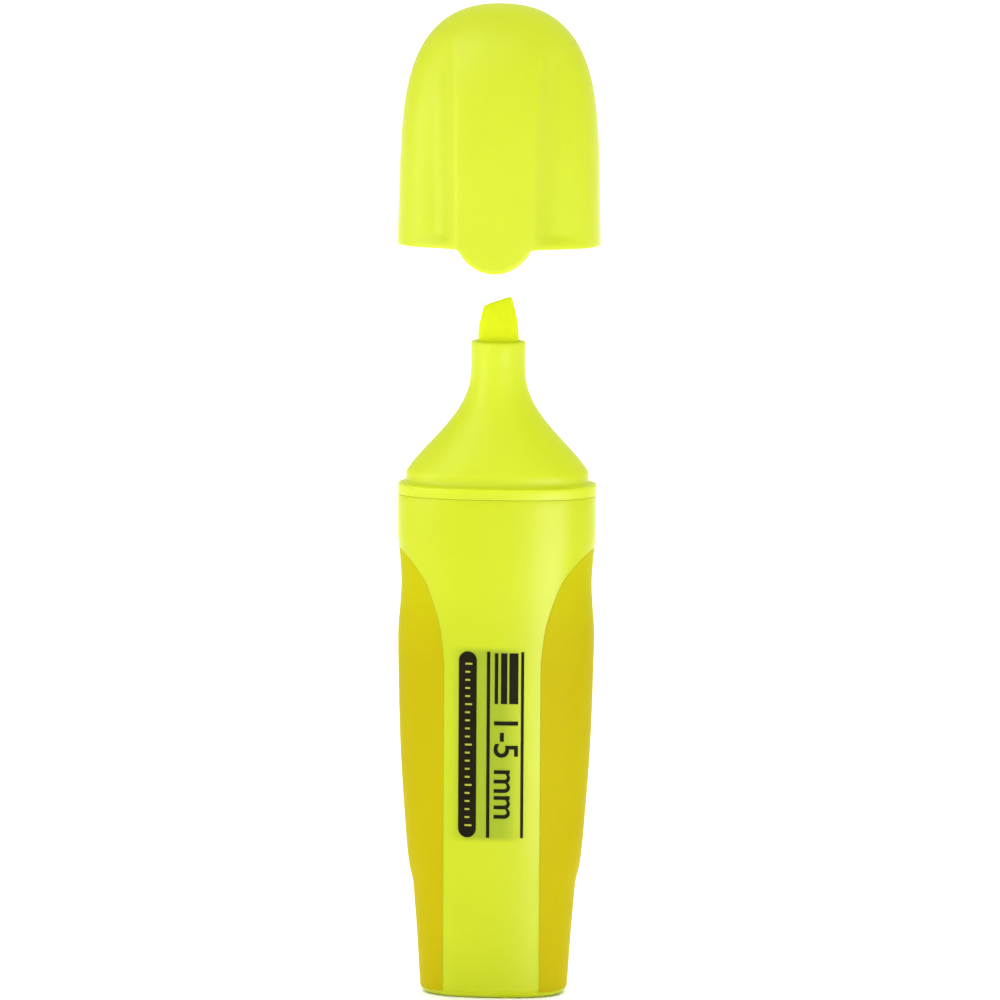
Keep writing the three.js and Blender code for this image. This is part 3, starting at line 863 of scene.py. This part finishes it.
def chisel_level(turns, a, b, share, inset):
    """One row of the chisel: share is how far up it lies, inset how far its end is rounded in."""
    level = ring(turns, 0, a, b, 2.6)
    shrink = max(1 - inset / b, 0.0)
    level[:, 1] *= shrink
    level[:, 0] *= 1 - 0.12 * (1 - shrink)
    level[:, 0] -= 0.12 * share
    x = level[:, 0]
    top = SLANT_HIGH + SLOPE * (x - TIP_X)
    top -= 0.4 * np.clip((x - 1.2) / 0.8, 0, 1) ** 3 + 0.2 * np.clip(-1.5 - x, 0, 1)
    lift = EDGE_LIFT * math.sqrt(max(0.0, 1 - shrink**2))
    level[:, 2] = CHISEL_START + (top - EDGE_LIFT - CHISEL_START) * share + lift
    level[:, :2] += rng.normal(0, UNEVENNESS, (len(turns), 2)) * (share > 0.1 and shrink > 0)
    return level


def build_nib():
    turns = np.linspace(0, 2 * math.pi, 96, endpoint=False)
    body = NIB_HALF_WIDTH, NIB_HALF_DEPTH, NIB_POWER
    rows = [pole(turns, nib_low[2]), ring(turns, nib_low[2], 1.4, 1.1, NIB_POWER)]
    rows += [ring(turns, z, *body) for z in (nib_low[2] + 2, 80, NECK_TOP, CHISEL_START)]
    widths = smooth_through([(0, 2.93), (0.35, 2.8), (0.7, 2.45), (1, 2.1)])
    depths = smooth_through([(0, 2.0), (0.35, 1.5), (0.7, 0.95), (1, 0.5)])
    rise = [(share, 0.0) for share in np.linspace(0, 1, 26)[1:]]
    end = [(1.0, inset) for inset in (0.05, 0.14, 0.26, 0.4, 0.5)]
    for share, inset in rise + end:
        rows.append(chisel_level(turns, float(widths(share)), float(depths(share)), share, inset))
    return rows


grid_piece("nib_felt", build_nib(), "pen", "nib", "nib_fibre", wet_felt, crease_angle=50)

# %% [markdown]
# ## The cap
# The cap is one moulding too. Its front carries a wide rib that starts in the crown, runs
# straight down and ends in a round tongue below the rim, with a shallow scoop on each side. A
# boolean cut would leave ragged shading where the rib meets the scoops, so the cap is one
# skin: columns follow the rib's edges at every height, the scoops are pushed into the
# front face, and the tongue has a front, a back and side walls of its own, sewn to the rim.

# %% Outline of the cap
CAP_HALF_WIDTH, CAP_HALF_DEPTH = 14.65, 9.4
RIB_HALF_DEPTH, RIB_HALF_WIDTH = 11.2, 5.73
TONGUE_CENTRE, TONGUE_BACK = 2.3, 9.1
TONGUE_TIP = TONGUE_CENTRE - RIB_HALF_WIDTH
SCOOP_DEPTH = 1.2
CAP_DRAFT = 0.05
WALL = 1.2
MOUTH, MOUTH_DEPTH = (13.5, 7.9), 2.0
INNER = MOUTH[0] - 0.3, MOUTH[1] - 0.7
rib_flare = smooth_through([
    (2.3, 5.73), (13, 5.85), (24, 6.13), (27.5, 6.63), (30.5, 8.13), (33, 11.65), (35, 16)])


def dome(z, half_wide, half_deep, height=CAP_HEIGHT):
    """Half width and half depth of the dome at a height above the rim."""
    share = np.clip(z / height, 0, 1)
    return (half_wide * (1 - CAP_DRAFT * share) * (1 - share**4.95) ** (1 / 2.15),
            half_deep * (1 - share**3.9) ** (1 / 2.3))


def rib_half_width(z):
    if z >= TONGUE_CENTRE:
        return float(rib_flare(z))
    return math.sqrt(max(0.0, RIB_HALF_WIDTH**2 - (TONGUE_CENTRE - z) ** 2))


def scoop(x, z):
    across = 1 - smoothstep(x, RIB_HALF_WIDTH + 0.4, CAP_HALF_WIDTH - 1)
    up = smoothstep(z, 0.3, 2.2) * (1 - smoothstep(z, 23, 33.5))
    return SCOOP_DEPTH * across * up


print("the tongue hangs", round(-TONGUE_TIP, 2), "mm below the rim")

# %% Rows round the cap
RIB_COLUMNS, COVE_COLUMNS, SCOOP_COLUMNS, BACK_COLUMNS = 26, 22, 20, 56
COVE, RIB_EDGE = 3.4, 0.42
COVE_SAMPLES = 15


def cove(x, edge):
    """1 on the rib, 0 on the body, a soft edge and a hollow between; wider where the rib flares."""
    flare = 1 + 0.8 * max(edge - RIB_HALF_WIDTH, 0)
    total = 0
    for shift in np.linspace(-RIB_EDGE, RIB_EDGE, COVE_SAMPLES) * flare:
        total = total + (1 - np.clip((x + shift - edge) / (COVE * flare**0.5), 0, 1)) ** 2
    return total / COVE_SAMPLES


def front_half(z):
    """The front's half width and depth at a height, the rib's edge, and the columns' turns."""
    a, depth = (max(float(half), 1e-6) for half in dome(z, CAP_HALF_WIDTH, CAP_HALF_DEPTH))
    edge = rib_half_width(z)
    edge_turn, cove_turn = turn_at(edge, a), turn_at(edge + COVE, a)
    along = np.sin(np.linspace(0, math.pi / 2, RIB_COLUMNS))
    rib = math.pi / 2 + (edge_turn - math.pi / 2) * along
    hollow = np.linspace(edge_turn, cove_turn, COVE_COLUMNS)[1:]
    rest = np.linspace(cove_turn, 0, SCOOP_COLUMNS)[1:]
    return a, depth, edge, np.concatenate([rib, hollow, rest])


def outer_row(z, rim_inset=0.0):
    """One ring of the cap's outside, front half first, then the plain back."""
    a, depth, edge, turns = front_half(z)
    x = a * squared(np.cos(turns), OVAL)
    flat = squared(np.sin(turns), OVAL)
    body = np.maximum(depth * flat - scoop(x, z) * smoothstep(flat, 0, 0.1), 0)
    rib = RIB_HALF_DEPTH / CAP_HALF_DEPTH * depth * flat
    y = body + (rib - body) * cove(x, edge)
    share = rim_inset * smoothstep(x, edge, edge + 0.4)
    half = np.stack([x * (1 - share / CAP_HALF_WIDTH), -y * (1 - share / CAP_HALF_DEPTH)], axis=1)
    back_turns = np.linspace(0, math.pi, BACK_COLUMNS)[1:-1]
    back = np.stack(oval_points(back_turns, a, depth, inset=min(rim_inset, a)), axis=1)
    left = half[::-1][:-1] * [-1, 1]
    flat_ring = np.vstack([half, back, left])
    return np.column_stack([flat_ring, np.full(len(flat_ring), z)])


print(len(outer_row(10.0)), "columns round the cap")

# %% Rows across the tongue
TONGUE_EDGE = 0.55
TONGUE_COLUMNS = 2 * RIB_COLUMNS - 1


def tongue_row(z, y_back=None):
    """One row across the tongue: its front face with a rounded edge, or its flat back."""
    x = rib_half_width(z) * np.sin(np.linspace(-math.pi / 2, math.pi / 2, TONGUE_COLUMNS))
    if y_back is None:
        flat = (1 - np.abs(x / CAP_HALF_WIDTH) ** OVAL) ** (1 / OVAL)
        inside = RIB_HALF_WIDTH - np.hypot(x, z - TONGUE_CENTRE)
        near = np.clip(TONGUE_EDGE - inside, 0, TONGUE_EDGE)
        fade = smoothstep(-z, 0, 0.8)
        y = -RIB_HALF_DEPTH * flat + fade * (TONGUE_EDGE - np.sqrt(TONGUE_EDGE**2 - near**2))
    else:
        y = np.full(len(x), -y_back)
    return np.column_stack([x, y, np.full(len(x), z)])


print(TONGUE_COLUMNS, "columns across the tongue")

# %% Rows from the crown to the rim, and up the inside
RIM_EDGE, MOUTH_EDGE = 0.14, 0.2
LOW_LEVELS = 0.15, 0.3, 0.5, 0.7, 0.9, 1.1, 1.35, 1.6, 1.9, 2.2, 2.6, 3.1


def outer_skin():
    climb = np.sin(np.linspace(0, math.pi / 2, 70))[1:]
    high = LOW_LEVELS[-1] + (CAP_HEIGHT - LOW_LEVELS[-1]) * climb
    rows = [outer_row(z) for z in (*high[::-1], *LOW_LEVELS[::-1])]
    rows[0] = pole(rows[0][:, 0], CAP_HEIGHT)
    return rows + [outer_row(along, inset) for along, inset in edge_steps(RIM_EDGE)]


def inner_skin(rim):
    """Rings up the inside, their columns turned to match the rim's."""
    x, y = rim[:, 0], rim[:, 1]
    turns = np.arctan2(np.sign(y) * np.abs(y / CAP_HALF_DEPTH) ** (OVAL / 2),
                       np.sign(x) * np.abs(x / CAP_HALF_WIDTH) ** (OVAL / 2))
    rows = [ring(turns, inset, *MOUTH, inset=-along) for along, inset in edge_steps(MOUTH_EDGE)]
    rows += [ring(turns, z, *MOUTH) for z in (1.0, MOUTH_DEPTH)]
    height = CAP_HEIGHT - WALL
    climb = np.sin(np.linspace(math.asin(4.2 / height), math.pi / 2, 30))[:-1]
    rows += [ring(turns, z, *dome(z, *INNER, height)) for z in height * climb]
    return rows + [pole(turns, height)]


print("inside height", round(CAP_HEIGHT - WALL, 1), "mm")

# %% Sew the cap together
def build_cap():
    """Points and faces: outer skin, inner skin, the rim between them, and the tongue."""
    outer = outer_skin()
    rim = outer[-1]
    inner = inner_skin(rim)
    around, wide, half = len(rim), TONGUE_COLUMNS, RIB_COLUMNS - 1
    steps = -TONGUE_TIP * np.sin(np.linspace(0, math.pi / 2, 26))
    front = [tongue_row(-drop) for drop in steps]
    back = [tongue_row(-drop, TONGUE_BACK) for drop in steps]
    parts = [np.vstack(outer), np.vstack(inner), np.vstack(front), np.vstack(back)]
    outer_at, inner_at, front_at, back_at = np.cumsum([0] + [len(part) for part in parts[:3]])
    faces = grid_faces(len(outer), around, outer_at) + grid_faces(len(inner), around, inner_at)
    faces += grid_faces(len(front), wide, front_at, close_ring=False)
    faces += grid_faces(len(back), wide, back_at, close_ring=False)
    for row in range(len(front) - 1):
        for side in (0, wide - 1):
            here, below = row * wide + side, (row + 1) * wide + side
            faces.append((front_at + here, front_at + below, back_at + below, back_at + here))
    rim_at = outer_at + (len(outer) - 1) * around
    for j in range(around):
        k = (j + 1) % around
        inside = inner_at + k, inner_at + j
        if j < half or j >= around - half:
            near = back_at + half + (j if j < half else j - around)
            faces.append((near, near + 1, *inside))
        elif j == half:
            faces.append((rim_at + j, rim_at + k, *inside, back_at + wide - 1))
        elif k == around - half:
            faces.append((rim_at + j, rim_at + k, back_at, *inside))
        else:
            faces.append((rim_at + j, rim_at + k, *inside))
    parts[0][rim_at:rim_at + half + 1] = front[0][half:]
    parts[0][rim_at + around - half:rim_at + around] = front[0][:half]
    points = np.vstack(parts)
    crown = np.clip(points[:, 2] / CAP_HEIGHT, 0, 1)
    points[:, 2] += RIM - CROWN_SOFTENING * crown**30
    return points, faces


closed_piece("cap_skin", *build_cap(), "cap", "cap_shell", "cap_plastic", cap_plastic,
             crease_angle=50)

# %% [markdown]
# ## The liner
# Inside the cap a small cup closes round the neck, so that the nib can't dry out. It is a plain
# turned shape with a bevelled mouth, and only shows from below.

# %% Build the liner
def build_liner():
    turns = np.linspace(0, 2 * math.pi, 72, endpoint=False)
    mouth, top = liner_low[2], liner_high[2]
    outer, bore = liner_high[0], NECK_RADIUS + 0.34
    profile = [(0, top - 1.2), (2.7, top - 1.2), (bore, top - 3.7), (bore, mouth + 0.15),
               (bore + 0.15, mouth), (outer - 0.2, mouth), (outer, mouth + 0.2),
               (outer, top - 2.5), (3.6, top - 0.15), (3.4, top), (0, top)]
    return [ring(turns, z, max(r, 1e-6), max(r, 1e-6), 2) for r, z in profile]


grid_piece("cap_liner_skin", build_liner(), "cap", "cap_liner", "liner_plastic", liner_plastic)

# %% [markdown]
# ## The ink reservoir
# The felt rod and its film sleeve lie unseen inside the barrel. Their CAD shapes are right as
# they are, so they only get their finishes.

# %% Finish the hidden pieces
for node, material in (("reservoir_core", core_felt), ("reservoir_wrap", film)):
    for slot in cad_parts[node].material_slots:
        slot.material = material
    print(node, "is finished in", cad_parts[node].active_material.name)
